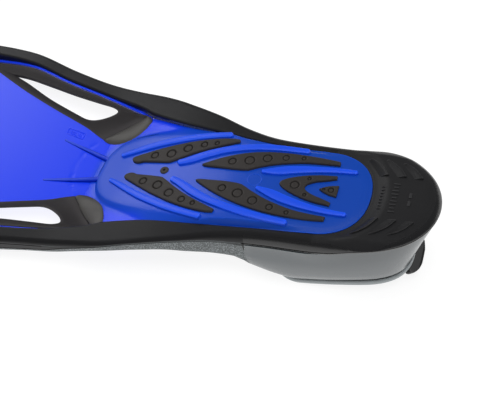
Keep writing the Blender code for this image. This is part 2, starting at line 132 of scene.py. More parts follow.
def blade_z(x):
    """Height of the blue blade's sole-side face."""
    return -10.5 + 0.15 * (FLEX_X - x)


# %% [markdown]
# ## Making pieces
# Nearly every part of a moulded fin is a smooth sheet or bar with a changing section. The shortest way to
# one in bmesh is a plain grid whose corners are moved to where a function of two numbers puts them. A bar is
# the same grid rolled round until its two long edges meet. Thickness comes from extruding the grid. A pocket
# of small helpers does this, so that the cells below only say what shape each piece has.

# %% Helpers for sheets and bars
def grid(columns, rows, place):
    """A grid of columns by rows faces, its corners moved to place(u, v), with u and v running from 0 to 1."""
    bm = bmesh.new()
    bmesh.ops.create_grid(bm, x_segments=columns, y_segments=rows, size=0.5)
    for v in bm.verts:
        v.co = place(min(max(v.co.x + 0.5, 0), 1), min(max(v.co.y + 0.5, 0), 1))
    return bm


def close_up(bm, distance=0.002):
    """Welds the seam of a rolled grid and fills what is still open."""
    bmesh.ops.remove_doubles(bm, verts=bm.verts, dist=distance)
    bmesh.ops.holes_fill(bm, edges=[e for e in bm.edges if e.is_boundary], sides=0)
    bmesh.ops.recalc_face_normals(bm, faces=bm.faces)
    return bm


def thicken_down(bm, under):
    """Extrudes a sheet to a closed plate, whose lower side is at under(x, y, z of the upper side)."""
    grown = bmesh.ops.extrude_face_region(bm, geom=bm.faces[:])
    for v in grown["geom"]:
        if isinstance(v, bmesh.types.BMVert):
            v.co.z = under(v.co.x, v.co.y, v.co.z)
    bmesh.ops.recalc_face_normals(bm, faces=bm.faces)
    return bm


def piece(name, bm, *finishes, sharp=38):
    """Turns a bmesh in sole millimetres into an object in the model's frame."""
    bmesh.ops.transform(bm, matrix=SOLE, verts=bm.verts)
    bmesh.ops.recalc_face_normals(bm, faces=bm.faces)
    mesh = bpy.data.meshes.new(name)
    bm.to_mesh(mesh)
    bm.free()
    for finish in finishes:
        mesh.materials.append(finish)
    mesh.shade_smooth()
    mesh.set_sharp_from_angle(angle=math.radians(sharp))
    made = bpy.data.objects.new(name, mesh)
    bpy.context.scene.collection.objects.link(made)
    print(name, "has", len(mesh.polygons), "faces")
    return made


def bake(obj, sharp=38):
    """Applies the modifiers and shades the finished mesh smooth."""
    graph = bpy.context.evaluated_depsgraph_get()
    done = bpy.data.meshes.new_from_object(obj.evaluated_get(graph), depsgraph=graph)
    obj.modifiers.clear()
    obj.data = done
    done.shade_smooth()
    done.set_sharp_from_angle(angle=math.radians(sharp))
    return obj


def nearest(points):
    """A finder of the nearest of many points in the sole's plane."""
    tree = KDTree(len(points))
    for i, p in enumerate(points):
        tree.insert((p[0], p[1], 0), i)
    tree.balance()
    return tree


def through(points, count):
    """A smooth open line through given points, with count spans between each two."""
    line = []
    for i in range(len(points) - 1):
        p0, p1, p2, p3 = (Vector(points[min(max(k, 0), len(points) - 1)]) for k in (i - 1, i, i + 1, i + 2))
        for k in range(count):
            t = k / count
            line.append(0.5 * (2 * p1 + (p2 - p0) * t + (2 * p0 - 5 * p1 + 4 * p2 - p3) * t**2
                               + (3 * p1 - p0 - 3 * p2 + p3) * t**3))
    return [tuple(p) for p in line] + [tuple(points[-1])]


# %% [markdown]
# ## Shader groups that several finishes share
# Moulded plastic and rubber show the same few things: a very fine grain from the tool's surface, faint
# handling marks and a little pale dust. Two more are painted light: edges painted lighter, as a painted
# highlight, and crevices painted darker, as painted shade. Each is a node group with named inputs and
# outputs, built once. Groups give out only masks and heights, and each material decides what to do with
# them.

# %% Building a node group
def group(name, inputs, outputs):
    """An empty shader group with float sockets, and its input and output nodes."""
    tree = bpy.data.node_groups.new(name, "ShaderNodeTree")
    for socket, value in inputs.items():
        made = tree.interface.new_socket(name=socket, in_out="INPUT", socket_type="NodeSocketFloat")
        made.default_value = value
    for socket in outputs:
        tree.interface.new_socket(name=socket, in_out="OUTPUT", socket_type="NodeSocketFloat")
    return tree, tree.nodes.new("NodeGroupInput"), tree.nodes.new("NodeGroupOutput")


def node(tree, kind, **settings):
    """A node with its properties and input values set, or linked where a socket is given."""
    made = tree.nodes.new("ShaderNode" + kind)
    inputs = settings.pop("inputs", {})
    for key, value in settings.items():
        setattr(made, key, value)
    for key, value in inputs.items():
        if isinstance(value, bpy.types.NodeSocket):
            tree.links.new(value, made.inputs[key])
        else:
            made.inputs[key].default_value = value
    return made


def span(tree, value, low, high, first=0.0, last=1.0):
    """The value's place between low and high, as a number from first to last."""
    return node(tree, "MapRange", inputs={"Value": value, "From Min": low, "From Max": high,
                                          "To Min": first, "To Max": last}).outputs["Result"]


def times(tree, a, b):
    """The product of two sockets."""
    return node(tree, "Math", operation="MULTIPLY", inputs={0: a, 1: b}).outputs[0]


def mixed(tree, share, first, second):
    """The first colour where share is 0 and the second where it is 1."""
    first = first if isinstance(first, bpy.types.NodeSocket) else (*first, 1)
    mixer = node(tree, "MixRGB", inputs={"Fac": share, "Color1": first, "Color2": (*second, 1)})
    return mixer.outputs["Color"]


# %% Moulded grain
grain_tree, grain_in, grain_out = group("Moulded grain", {"Scale": 900.0, "Detail": 3.0},
                                        ["Height", "Speckle"])
place = node(grain_tree, "TexCoord").outputs["Object"]
fine = node(grain_tree, "TexNoise", inputs={"Vector": place, "Scale": grain_in.outputs["Scale"],
                                           "Detail": grain_in.outputs["Detail"], "Roughness": 0.6})
flecks = node(grain_tree, "ValToRGB", inputs={"Fac": fine.outputs["Fac"]})
flecks.color_ramp.elements[0].position = 0.48
flecks.color_ramp.elements[1].position = 0.62
grain_tree.links.new(fine.outputs["Fac"], grain_out.inputs["Height"])
grain_tree.links.new(flecks.outputs["Color"], grain_out.inputs["Speckle"])

# %% Handling marks and dust
marks_tree, marks_in, marks_out = group("Handling marks", {"Scale": 18.0, "Amount": 0.5}, ["Scuff", "Dust"])
place = node(marks_tree, "TexCoord").outputs["Object"]
stretched = node(marks_tree, "Mapping", inputs={"Vector": place, "Scale": (0.35, 1.6, 1.0)}).outputs["Vector"]
scuffs = node(marks_tree, "TexNoise", inputs={"Vector": stretched, "Scale": 160.0, "Detail": 5.0,
                                              "Roughness": 0.7})
clouds = node(marks_tree, "TexNoise", inputs={"Vector": place, "Scale": marks_in.outputs["Scale"],
                                              "Detail": 4.0})
for noise, low, high, given in ((scuffs, 0.55, 0.8, "Scuff"), (clouds, 0.35, 0.7, "Dust")):
    amount = times(marks_tree, span(marks_tree, noise.outputs["Fac"], low, high), marks_in.outputs["Amount"])
    marks_tree.links.new(amount, marks_out.inputs[given])

# %% Painted edge highlight and crevice shade
edge_light_and_crevice_shade_tree, edge_light_and_crevice_shade_in, edge_light_and_crevice_shade_out = group("Painted edge highlight and crevice shade", {"Strength": 1.0}, ["Edge", "Crevice"])
bend = node(edge_light_and_crevice_shade_tree, "NewGeometry").outputs["Pointiness"]
# Edge marks convex edges for a painted highlight, Crevice marks hollows for painted shade
for low, high, given in ((0.505, 0.56, "Edge"), (0.495, 0.44, "Crevice")):
    amount = times(edge_light_and_crevice_shade_tree, span(edge_light_and_crevice_shade_tree, bend, low, high), edge_light_and_crevice_shade_in.outputs["Strength"])
    edge_light_and_crevice_shade_tree.links.new(amount, edge_light_and_crevice_shade_out.inputs[given])

# %% [markdown]
# ## One recipe for the mouldings
# Every finish here is a dielectric whose base colour drifts a little from place to place, is painted darker
# in crevices as painted shade and a little lighter on edges as a painted highlight, with roughness raised by
# scuffs and dust and a bump from the tool's grain. The recipe is one function, and each material gives it
# its own numbers.

# %% The moulded finish
def moulded(name, colour, drift, rough, grain_scale, grain_height, marks=0.4, crevice_shade_colour=None,
            edge_highlight_colour=None, speckle=None, ior=1.5, spec=0.5, where_thin_and_lit_through=None, toward_toe=None):
    """A moulded plastic or rubber."""
    made = bpy.data.materials.new(name)
    made.use_nodes = True
    tree = made.node_tree
    shader = tree.nodes["Principled BSDF"]
    shader.inputs["IOR"].default_value = ior
    shader.inputs["Specular IOR Level"].default_value = spec
    grain = node(tree, "Group", node_tree=grain_tree, inputs={"Scale": grain_scale, "Detail": 2.0})
    handled = node(tree, "Group", node_tree=marks_tree, inputs={"Scale": 14.0, "Amount": marks})
    painted_edge_light_and_crevice_shade = node(tree, "Group", node_tree=edge_light_and_crevice_shade_tree, inputs={"Strength": 1.0})
    shade = mixed(tree, handled.outputs["Dust"], colour, drift)
    if speckle:
        shade = mixed(tree, grain.outputs["Speckle"], shade, speckle)
    # painted shade in crevices, then a painted highlight on edges
    shade = mixed(tree, painted_edge_light_and_crevice_shade.outputs["Crevice"], shade, crevice_shade_colour or tuple(c * 0.45 for c in colour))
    light = edge_highlight_colour or tuple(min(c * 1.5 + 0.01, 1) for c in colour)
    shade = mixed(tree, painted_edge_light_and_crevice_shade.outputs["Edge"], shade, light)
    if toward_toe:
        place = node(tree, "TexCoord").outputs["Object"]
        forward = node(tree, "SeparateXYZ", inputs={"Vector": place}).outputs["X"]
        share = span(tree, forward, (SOLE @ Vector((110, 0, 0))).x, (SOLE @ Vector((10, 0, 0))).x)
        shade = mixed(tree, share, shade, toward_toe)
    # painted light: thin plastic is lighter, as if the white table shone through it
    if where_thin_and_lit_through:
        shade = mixed(tree, node(tree, "Attribute", attribute_name="thin").outputs["Fac"], shade, where_thin_and_lit_through)
    tree.links.new(shade, shader.inputs["Base Color"])
    roughness = span(tree, handled.outputs["Scuff"], 0.0, 1.0, rough, min(rough + 0.25, 1))
    tree.links.new(roughness, shader.inputs["Roughness"])
    bump = node(tree, "Bump", inputs={"Height": grain.outputs["Height"], "Strength": 0.6,
                                      "Distance": grain_height})
    tree.links.new(bump.outputs["Normal"], shader.inputs["Normal"])
    print("made the finish", name)
    return made


# The crevice colours below are painted shade, and the edge colours are painted highlights.
BLUE = moulded("royal blue thermoplastic", (0.001, 0.048, 0.36), (0.002, 0.054, 0.42), 0.32, 2600, 0.00001,
               marks=0.2, crevice_shade_colour=(0.0, 0.012, 0.22), edge_highlight_colour=(0.003, 0.07, 0.55),
               toward_toe=(0.003, 0.055, 0.52), where_thin_and_lit_through=(0.003, 0.04, 0.82))
# A darker copy of the blue: painted shade for the left half of the ledge's wall.
SHADED_LEDGE_BLUE = moulded("royal blue ledge plastic in painted shade", (0.001, 0.026, 0.25), (0.001, 0.03, 0.29), 0.5, 2600,
                     0.00001, marks=0.2, spec=0.25)
RIB_BLUE = moulded("royal blue rib plastic", (0.003, 0.06, 0.68), (0.004, 0.065, 0.74), 0.36, 2600, 0.00001,
                   marks=0.2, crevice_shade_colour=(0.0, 0.01, 0.4), edge_highlight_colour=(0.01, 0.09, 0.85))
BLADE_BLUE = moulded("thin blade plastic", (0.003, 0.038, 0.76), (0.003, 0.042, 0.82), 0.34, 2600, 0.00001,
                     marks=0.2, crevice_shade_colour=(0.0, 0.008, 0.4), edge_highlight_colour=(0.01, 0.05, 0.9))
RAIL_RUBBER = moulded("black rail rubber", (0.005, 0.005, 0.006), (0.008, 0.008, 0.0095), 0.45, 1500, 0.00003,
                      marks=0.35, spec=0.4)
POLISHED = moulded("polished band rubber", (0.006, 0.006, 0.007), (0.009, 0.009, 0.01), 0.26, 1500, 0.00001,
                   marks=0.3, spec=0.5, ior=1.6)
TREAD_RUBBER = moulded("heel tread rubber", (0.012, 0.012, 0.013), (0.018, 0.018, 0.019), 0.45, 1300, 0.00003,
                       spec=0.28)
WEB_RUBBER = moulded("flat web rubber", (0.018, 0.016, 0.017), (0.024, 0.022, 0.023), 0.6, 1500, 0.00004,
                     spec=0.35)
LOBE_RUBBER = moulded("smooth lobe rubber", (0.044, 0.042, 0.04), (0.056, 0.053, 0.049), 0.4, 1300, 0.00003,
                      spec=0.45)
PAD_RUBBER = moulded("grip pad rubber", (0.026, 0.023, 0.022), (0.034, 0.03, 0.029), 0.5, 1400, 0.00004,
                     crevice_shade_colour=(0.003, 0.003, 0.003), edge_highlight_colour=(0.045, 0.04, 0.037), spec=0.35)
SPECKLED = moulded("speckled sandblasted rubber", (0.085, 0.096, 0.099), (0.115, 0.128, 0.132), 0.55, 900,
                   0.0002, speckle=(0.33, 0.36, 0.37), spec=0.4)
POCKET_RUBBER = moulded("soft pocket rubber", (0.07, 0.085, 0.094), (0.09, 0.106, 0.116), 0.2, 1500, 0.00001,
                        marks=0.3, spec=0.85, ior=1.7)
# The bead's pale grey is a painted reflection of the white floor on black rubber.
BEAD_PAINTED_REFLECTION_RUBBER = moulded("bead rubber painted pale as a floor reflection", (0.3, 0.33, 0.34), (0.36, 0.39, 0.4), 0.3, 1500, 0.00001, marks=0.3)

# %% [markdown]
# ## The blue moulding: sole plate and blade in one
# On a real fin the sole plate and the blade are one injection moulding of stiff thermoplastic. Under the
# foot it rises to a plateau with an arch-shaped front, and ribs stand on it beside the grip pads. The
# plateau falls to the blade over a short steep ledge in front and over a long soft flank at the sides. Two
# strakes run from the ledge out on to the blade. Booleans would give hard joins where the mould has soft
# ones, so the upper side is one sheet whose height is worked out from the distance to the plateau's edge.
# The left half of the ledge's wall is painted darker than the rest, as painted shade.

# %% The plateau's edge and the ribs
PLATE_Z = ((-72, -8.8), (-66, -7.6), (-60, -6.8), (-51, -5.4), (-35, -2.8), (-15, -0.3), (0, 1.1), (14, 2.2),
           (28, 3.2), (40, 4.0), (60, 5.0), (75, 5.0), (90, 4.4), (105, 3.4), (120, 2.5), (140, 1.6),
           (160, 1.3), (185, 1.2))
PLATEAU = ((-66.5, 0), (-66.3, 8), (-65.2, 14), (-62.3, 21.5), (-57, 28.6), (-49.8, 33.8), (-42, 37.3),
           (-29.5, 40.2), (-15.5, 42), (7.5, 44.0), (31.5, 46.4), (48, 47.2), (62, 44.2), (80, 42.0),
           (100, 40.4), (120, 39.2), (138, 38.2))
FLOOR = ((-80, -9.6), (-66, -10.6), (-55, -9.2), (-42, -6.8), (-25, -4.3), (-8, -3.1), (10, -2.2), (25, -1.2),
         (40, -0.6), (60, -1.0), (80, -1.4), (100, -1.6), (120, -1.2), (140, -0.2), (183, 0.0))
FLANK_WIDTH = ((-66, 2.0), (-58, 2.4), (-50, 2.8), (-40, 3.4), (-30, 4.5), (-20, 6.5), (-10, 9), (0, 11),
               (20, 7.5), (40, 4.2), (60, 3.6), (185, 3.6))
LOBE_LINE = ((-82, 35), (-80.5, 33.8), (-77, 31.9), (-72, 30.9), (-66, 31.2), (-57, 34.6), (-48, 41.3),
             (-42, 50.5), (-39.3, 58.5))
OUTER_RIB = ((-51.5, 13.8), (-40, 18.8), (-30, 23.4), (-20, 27.7), (-10, 31.5), (0, 34.7), (10, 37.7),
             (20, 40.2), (30, 42.2), (40, 44), (51, 45.4))
MIDDLE_RIB = ((9, 8.6), (20, 13), (35, 21), (53, 28.2), (76, 33.8), (100, 36.8), (124, 38))
INNER_RIB = ((88, 8.6), (102, 12), (114, 15.5), (131, 19), (150, 21.4), (169, 22))
RIBS = {"outer": (OUTER_RIB, (2.0, 3.0, 3.4, 3.4, 3.2, 2.8)),
        "middle": (MIDDLE_RIB, (2.8, 3.9, 3.7, 3.4, 3.3, 3.0, 2.6)),
        "inner": (INNER_RIB, (1.6, 4.2, 4.0, 3.2, 2.6, 2.0))}
plateau_end = [arc_point(138, 38.2, 42.0, k / 60, 2.3) for k in range(61)]
plateau_edge = through(PLATEAU, 24) + plateau_end
plateau_tree = nearest(plateau_edge)
mould_line = through(((-85, 28), (-88, 24), (-91, 16), (-92.8, 8), (-93, 0)), 20)
mould_line_tree = nearest(mould_line)
print(len(plateau_edge), "points along the plateau's edge")


# %% The height of the blue face
def on_plateau(x, y):
    """Whether a point lies inside the plateau's outline."""
    if x < -66.5:
        return False
    return y < along(PLATEAU, x) if x <= 138 else ((x - 138) / 42) ** 2.3 + (y / 38.2) ** 2.3 < 1


def soft_above(value, radius):
    """The value where it is above 0, else 0, with a rounded corner."""
    return (value + math.sqrt(value * value + radius * radius)) / 2


def soft_below(value, limit, radius):
    """The value held below a limit, with a rounded corner."""
    return limit - soft_above(limit - value, radius)


def blue_base(x, y):
    """Height of the blue face without its ribs."""
    y = abs(y)
    if x < -72:
        height = blade_z(x)
    else:
        outside = plateau_tree.find((x, y, 0))[2]
        if on_plateau(x, y):
            outside = -outside
        top = along(PLATE_Z, x) - 0.25 * ease(-5.0, 0.0, outside)
        floor = along(FLOOR, x)
        down = top - (top - floor) * outside / along(FLANK_WIDTH, x)
        height = floor + soft_above(soft_below(down, top, 0.5) - floor, 0.4)
    under_lobe = ease(0.2, 1.8, y - along(LOBE_LINE, x)) * ease(-38.6, -40.5, x) if x > -82 else 0.0
    return height - 1.8 * under_lobe


def blue_detail(x, y):
    """The faint line of the mould on the blade's root."""
    away = mould_line_tree.find((x, abs(y), 0))[2]
    return -0.35 * ease(1.2, 0.2, away)


def blue_half(x):
    """Half width of the blue moulding, with a margin under the webs."""
    if x < -240:
        return along(RAIL_INNER, x) + 1.5
    if x < -42:
        return min(along(PANEL_EDGE, x) + 2.0, along(RAIL_INNER, x) + 1.0)
    return along(RAIL_INNER, x) + 0.6


# %% The blue moulding
BLUE_X = ((0, -340), (0.12, -150), (0.2, -80), (0.27, -68), (0.42, -50), (0.55, -20), (0.7, 40), (0.88, 140))


def blue_corner(u, v):
    across = 2 * v - 1
    if u > 0.88:
        x, half = arc_point(BLUE_END, BLUE_END_HALF, BLUE_REACH + 0.4, (u - 0.88) / 0.12, BLUE_BLUNT)
    else:
        x = along(BLUE_X, u)
        half = blue_half(x)
    y = across * half
    z = blue_base(x, y)
    if u < 0.04:
        x += (1 - u / 0.04) * (4.5 * math.cos(abs(y) / 100 * math.pi * 2.2) - 4)
    return Vector((x, y, z + blue_detail(x, y)))


blue = thicken_down(grid(360, 118, blue_corner),
                    lambda x, y, z: blue_base(x, y) - mix(2.2, 3.2, ease(-330, -150, x)))
# The thin blade and the floor before the plateau are painted lighter: painted light shining through thin
# plastic.
thin = blue.verts.layers.float.new("thin")
for v in blue.verts:
    x, y = v.co.x, abs(v.co.y)
    off_plateau = 0.0 if on_plateau(x, y) else ease(0.0, 12.0, plateau_tree.find((x, y, 0))[2])
    v[thin] = max(ease(-66, -84, x), off_plateau * ease(8, -16, x))
LEDGE_REACH = 3.2      # how far from the plateau's edge its steep wall is
for face in blue.faces:
    c = face.calc_center_median()
    steep = -70 < c.x < 15 and 0.1 < face.normal.z < 0.9
    # the wall's left half is painted darker than its right half, as painted shade
    if steep and c.y > -4 and plateau_tree.find((c.x, abs(c.y), 0))[2] < LEDGE_REACH:
        face.material_index = 1
blue = piece("blue_sole_and_blade", blue, BLUE, SHADED_LEDGE_BLUE)

# %% [markdown]
# ## The ribs and strakes
# The ribs are smooth bars with a flat, slightly crowned top and round ends, and the strakes are thin fins
# that grow towards the ledge. Each is a bar rolled along its own centre line, so that its edges run clean
# along the curve, and it is sunk a little into the blue face, as if moulded in one with it.

# %% Bars along a centre line
SECTION = ((-1.0, -1.0), (-1.0, 0.55), (-0.9, 0.86), (-0.68, 1.0), (0.0, 1.06), (0.68, 1.0), (0.9, 0.86),
           (1.0, 0.55), (1.0, -1.0), (-1.0, -1.0))


def bar(points, half_widths, ground, height, side, columns=90):
    """A rib along points, whose top stands height(t) over ground(x, y), with round ends."""
    line = evenly(points, columns + 1)
    table = tuple((k / (len(half_widths) - 1), w) for k, w in enumerate(half_widths))

    def place(u, v):
        i = int(round(u * columns))
        p, ahead, behind = line[i], line[min(i + 1, columns)], line[max(i - 1, 0)]
        across = (ahead - behind).normalized()
        across = Vector((-across.y, across.x))
        half = along(table, u)
        length = (line[1] - line[0]).length * columns
        end = min(u, 1 - u) * length
        half *= math.sqrt(max(1 - (1 - min(end / half, 1)) ** 2, 0.0))
        w, h = SECTION[int(round(v * (len(SECTION) - 1)))]
        soft = ease(0.0, 0.35, min(end / along(table, u), 1))
        top = height(u) * (0.45 + 0.55 * soft)
        q = p + across * (w * half)
        z = ground(p.x, p.y) + (top * h if h > 0 else -1.2)
        return Vector((q.x, side * q.y, z))
    return close_up(grid(columns, len(SECTION) - 1, place))


def evenly(points, count, spans=16, closed=False):
    """Count points at even distances on a smooth line; a closed line leaves its last point out."""
    line = [Vector(p) for p in through(points, spans)]
    gaps = [(b - a).length for a, b in zip(line, line[1:])]
    total, made, k, gone = sum(gaps), [], 0, 0.0
    for i in range(count):
        target = total * i / (count if closed else count - 1)
        while k < len(gaps) - 1 and gone + gaps[k] < target:
            gone += gaps[k]
            k += 1
        made.append(line[k].lerp(line[k + 1], min(max((target - gone) / max(gaps[k], 1e-9), 0), 1)))
    return made


RIB_HEIGHT = 2.4
for side, word in ((1, "left"), (-1, "right")):
    for name, (points, widths) in RIBS.items():
        rib = piece(f"sole_rib_{name}_{word}", bar(points, widths, blue_base, lambda t: RIB_HEIGHT, side),
                    RIB_BLUE)
        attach(rib, "foot_pocket")
    strake = bar(((-63, 10.9), (-85, 16.8), (-116, 24.5)), (2.4, 1.8, 0.9), lambda x, y: blade_z(min(x, -62)),
                 lambda t: mix(4.4, 0.3, t ** 0.7), side)
    strake = piece(f"blade_strake_{word}", strake, RIB_BLUE)
    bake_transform(strake)

# %% [markdown]
# ## Small moulding marks
# A moulded sole carries small marks from its tool: here a thin round date ring on the plate and a little
# size plate on the blade, left plain. The ring is a small profile spun round; the size plate is a frame of
# bevelled bars.

# %% The marks
ring = bmesh.new()
loop = [ring.verts.new((6 + 0.5 * math.cos(a), 0, 0.28 * math.sin(a)))
        for a in (k * math.tau / 10 for k in range(10))]
rim = [ring.edges.new(pair) for pair in zip(loop, loop[1:] + loop[:1])]
bmesh.ops.spin(ring, geom=loop + rim, cent=(0, 0, 0), axis=(0, 0, 1), angle=math.tau, steps=64,
               use_merge=True)
for v in ring.verts:
    v.co = Vector((v.co.x + 84.5, v.co.y, v.co.z + blue_base(v.co.x + 84.5, v.co.y)))
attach(piece("sole_date_ring", ring, BLUE), "foot_pocket")

FRAME_BARS = ((0, 3.4, 17.5, 0.7), (0, -3.4, 17.5, 0.7), (8.6, 0, 0.7, 7.4), (-8.6, 0, 0.7, 7.4),
              (-4.8, 0, 0.6, 3.6), (-1.6, 0.6, 4.4, 0.6), (-1.6, -1.6, 4.4, 0.6), (3.4, 0, 0.6, 3.6),
              (5.4, 0, 0.6, 3.6))
frame_bars = bmesh.new()
for along_x, across_y, length, width in FRAME_BARS:
    made = bmesh.ops.create_cube(frame_bars, size=1.0)["verts"]
    bmesh.ops.scale(frame_bars, vec=(length, width, 0.9), verts=made)
    bmesh.ops.translate(frame_bars, vec=(along_x, across_y, 0), verts=made)
bmesh.ops.bevel(frame_bars, geom=frame_bars.edges[:], offset=0.15, segments=2, profile=0.5, affect="EDGES",
                material=-1)
for v in frame_bars.verts:
    x, y = v.co.x - 109.0, v.co.y + 34.5 - 0.17 * v.co.x
    v.co = Vector((x, y, v.co.z + blade_z(x) + 0.1))
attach(piece("blade_size_plate", frame_bars, BLADE_BLUE), "blade")

# %% [markdown]
# ## The blue strips beside the rails
# A narrow blue edge of the blade is left showing between each web and its rail. It is a slim bar that
# follows the rail's inner side, so it is a grid rolled into a bar with a section of four sides.

# %% The strips
def strip_corner(side):
    def place(u, v):
        x = mix(-246, -41, u)
        inner, outer = along(RAIL_INNER, x) - 1.9, along(RAIL_INNER, x) + 1.0
        corner = ((inner, 0.3), (outer, 0.5), (outer, -1.9), (inner, -1.9), (inner, 0.3))
        k = min(int(v * 4), 3)
        y, z = (mix(corner[k][i], corner[k + 1][i], v * 4 - k) for i in (0, 1))
        return Vector((x, side * y, mix(web_z(x, outer - 3.4), along(FLOOR, x) - 0.4, ease(-56, -41, x)) + z))
    return place


WEB_RISE = 7.0


def web_z(x, y):
    """Height of a web, which climbs from the blade panel's edge to the rail."""
    low, high = along(PANEL_EDGE, x), along(RAIL_INNER, x) - 3.0
    share = min(max((abs(y) - low) / max(high - low, 1.0), 0), 1)
    climb = blade_z(min(x, -60)) + 0.3 + WEB_RISE * ease(-245, -170, x) * share
    return max(climb, along(FLOOR, x) + 0.5) if x > -78 else climb


for side, word in ((1, "left"), (-1, "right")):
    strip = piece(f"blade_edge_strip_{word}", close_up(grid(90, 8, strip_corner(side))), BLADE_BLUE)
    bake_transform(strip)

# %% [markdown]
# ## The rubber webs and their vents
# Between the blade panel and each rail the fin has a flat rubber web with a long slot that lets water
# through. The slot's lip is soft. The web is made as a ring: one closed curve round the slot, one round the
# web, and a rolled grid between them, which needs no cutting and leaves a clean rounded lip.

# %% The webs
VENT = ((-200, 88), (-180, 80.5), (-149, 67), (-115, 55.5), (-104, 52.8), (-94, 54), (-83, 59.6),
        (-77.5, 66.3), (-84, 71), (-100, 73), (-127, 76.5), (-155, 81.5), (-180, 86), (-200, 88))


def web_outline():
    inner = [(x, along(PANEL_EDGE, x) + 0.2) for x in range(-226, -83, 9)]
    crease = [(-81, 34.2), (-79, 34.5), (-72, 42.5), (-65, 50.5), (-56, 58.5), (-50, 63.5), (-46, 66.6)]
    outer = [(x, along(RAIL_INNER, x) - 3.0) for x in range(-54, -230, -9)]
    return [(-236, 99.2)] + inner + crease + outer + [(-236, 99.2)]


WEB_COLUMNS, DENSE = 180, 1600


def matched(curve, count, corners):
    """A closed curve as points whose shares run evenly between named corners, so that two curves pair up."""
    dense = evenly(curve, DENSE, spans=10, closed=True)
    marks = [min(range(DENSE), key=lambda i: (dense[i] - Vector(c)).length) for c in corners] + [DENSE]
    marks[0] = 0
    made = []
    for i in range(count):
        share = i / count * (len(marks) - 1)
        k = int(share)
        made.append(dense[int(mix(marks[k], marks[k + 1], share - k)) % DENSE])
    return made


RING = ((0.0, -1.2), (0.0, -0.3), (0.02, 0.35), (0.06, 0.6), (0.16, 0.3), (0.3, 0.0), (0.65, 0.0), (1.0, 0.0),
        (1.0, -2.4), (0.6, -2.4), (0.3, -2.4), (0.16, -2.6), (0.06, -2.9), (0.02, -2.7), (0.0, -2.1),
        (0.0, -1.2))
vent_ring = matched(VENT, WEB_COLUMNS, ((-200, 88), (-104, 52.8), (-77.5, 66.3), (-100, 73)))
web_ring = matched(web_outline(), WEB_COLUMNS, ((-236, 99.2), (-81, 34.2), (-50, 63.5), (-108, 80.5)))


def web_corner(side):
    def place(u, v):
        i = int(round(u * WEB_COLUMNS)) % WEB_COLUMNS
        k = min(int(round(v * (len(RING) - 1))), len(RING) - 1)
        share, lift = RING[k]
        p = vent_ring[i].lerp(web_ring[i], share)
        return Vector((p.x, side * p.y, web_z(p.x, p.y) + lift))
    return place


for side, word in ((1, "left"), (-1, "right")):
    web = piece(f"vented_web_{word}", close_up(grid(WEB_COLUMNS, len(RING) - 1, web_corner(side))),
                WEB_RUBBER)
    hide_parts(f"flex_web_{word}")
    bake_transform(web)

# %% [markdown]
# ## The lobes that lap on to the sole plate
# Each web ends at the foot in a smooth, thicker lobe with a round end, which laps on to the blue moulding
# and is bounded from the web by a crease. It is a sheet between the crease and the round end, crowned a
# little.

# %% The lobes
CREASE = ((-80.5, 34.0), (-74, 41.0), (-65, 50.6), (-56, 58.6), (-46.5, 66.5))
LOBE_COLUMNS = 48
LOBE_END = ((-80.5, 33.7), (-77, 31.8), (-72, 30.8), (-66, 31.1), (-57, 34.5), (-48, 41.2), (-42, 50.3),
            (-39.3, 58.3), (-41, 64.8), (-45, 66.8))


for side, word in ((1, "left"), (-1, "right")):
    crease_line, end_line = evenly(CREASE, LOBE_COLUMNS + 1), evenly(LOBE_END, LOBE_COLUMNS + 1)

    def lobe_place(u, v, side=side):
        i = int(round(u * LOBE_COLUMNS))
        a, b = crease_line[i], end_line[i]
        p = a.lerp(b, v)
        low = max(blade_z(b.x), along(FLOOR, b.x)) if b.x > -80 else blade_z(b.x)
        ground = mix(web_z(a.x, a.y), low, v)
        width = (b - a).length
        crown = 1.9 * ease(0.5, 6.0, width) * max(math.sin(math.pi * min(max(v, 0), 1)), 0.0) ** 0.35
        return Vector((p.x, side * p.y, ground - 0.6 + crown))

    lobe = thicken_down(grid(LOBE_COLUMNS, 26, lobe_place), lambda x, y, z: z - 2.6)
    crease_tree = nearest(crease_line)
    # a thin strip along the crease gets the dark rail rubber, as painted shade in the crease
    for face in lobe.faces:
        c = face.calc_center_median()
        face.material_index = int(crease_tree.find((c.x, abs(c.y), 0))[2] < 0.9)
    lobe = piece(f"web_lobe_{word}", lobe, LOBE_RUBBER, RAIL_RUBBER)
    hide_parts(f"web_root_{word}")
    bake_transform(lobe)

# %% [markdown]
# ## Rails, band and heel tread in one rubber moulding
# One black rubber moulding starts as a tall rail at each corner of the blade, runs in past the webs, closes
# round the sole as a band, and widens to the heel tread. It is one bar, so it is one rolled grid for the
# left half, mirrored for the right. Its section is a rectangle with rounded corners; a fine parting line
# runs along its outer face. On the heel, curved tread bars rise gently and end in a sharp step.

# %% The height of the band's top
HEEL_RISE = 4.0
SMOOTH_FROM = 87.5     # the sides are sandblasted up to here, and polished from here to the heel
blue_end = [arc_point(BLUE_END, BLUE_END_HALF, BLUE_REACH + 0.4, k / 120, BLUE_BLUNT) for k in range(121)]
blue_end_tree = nearest(blue_end)


def tread_z(x, y):
    """Height of the top of the band and the heel tread."""
    y = abs(y)
    base = along(RAIL_TOP, x) if x < 150 else 0.0
    if x < 140:
        return base
    from_blue = blue_end_tree.find((x, y, 0))[2]
    return base + HEEL_RISE * ease(1.0, 15.0, from_blue) * ease(52, 42, y) * ease(146, 172, x)


# %% The bar's path and section
HEEL_U = 0.62          # the bar runs beside the sole up to here, and then round the heel
RAIL_U = ((0, -350), (0.012, -347), (0.2, -190), (0.42, -42), (0.62, 130))


